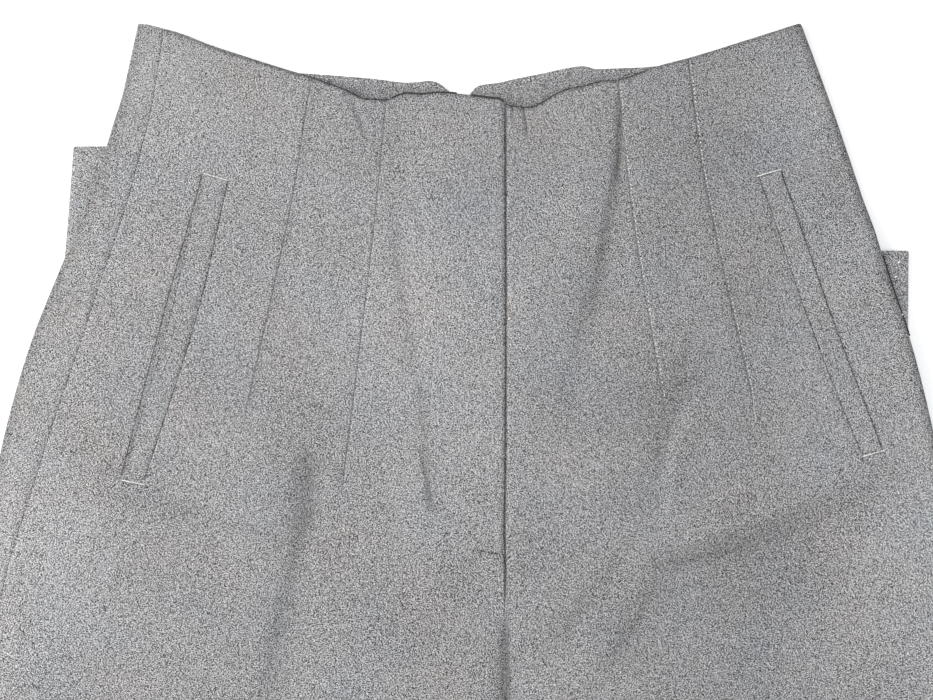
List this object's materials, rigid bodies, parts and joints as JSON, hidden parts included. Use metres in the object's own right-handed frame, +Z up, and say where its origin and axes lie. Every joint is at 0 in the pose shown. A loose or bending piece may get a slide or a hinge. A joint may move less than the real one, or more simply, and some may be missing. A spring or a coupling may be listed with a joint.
{
  "type": "folded dress trousers",
  "caption": "High-waisted dress trousers with a fly, stitched-down tucks and slanted welt pockets, laid face up with the legs folded back under the body at the knee.",
  "frame": {"origin": "middle of the bounding box in the plan, at the height of the surface the trousers lie on", "axes": "+X to the wearer's left, +Y from the knee folds to the waist, +Z up from the surface through the front"},
  "size_m": [0.5012, 0.6104, 0.0104],
  "materials": {
    "suiting": "grey marled wool-blend suiting, matt with short fibres",
    "facing": "the same suiting, seen from its inside at the back waist",
    "zip_tape": "plain woven grey tape"
  },
  "bodies": {
    "root": {"front_right": "suiting", "front_left": "suiting", "back_right": "suiting", "back_left": "suiting", "back_facing_right": "facing", "back_facing_left": "facing", "welt_right": "suiting", "welt_left": "suiting", "fly_zip": "zip_tape", "lower_leg_right": "suiting", "lower_leg_left": "suiting"}
  },
  "joints": []
}
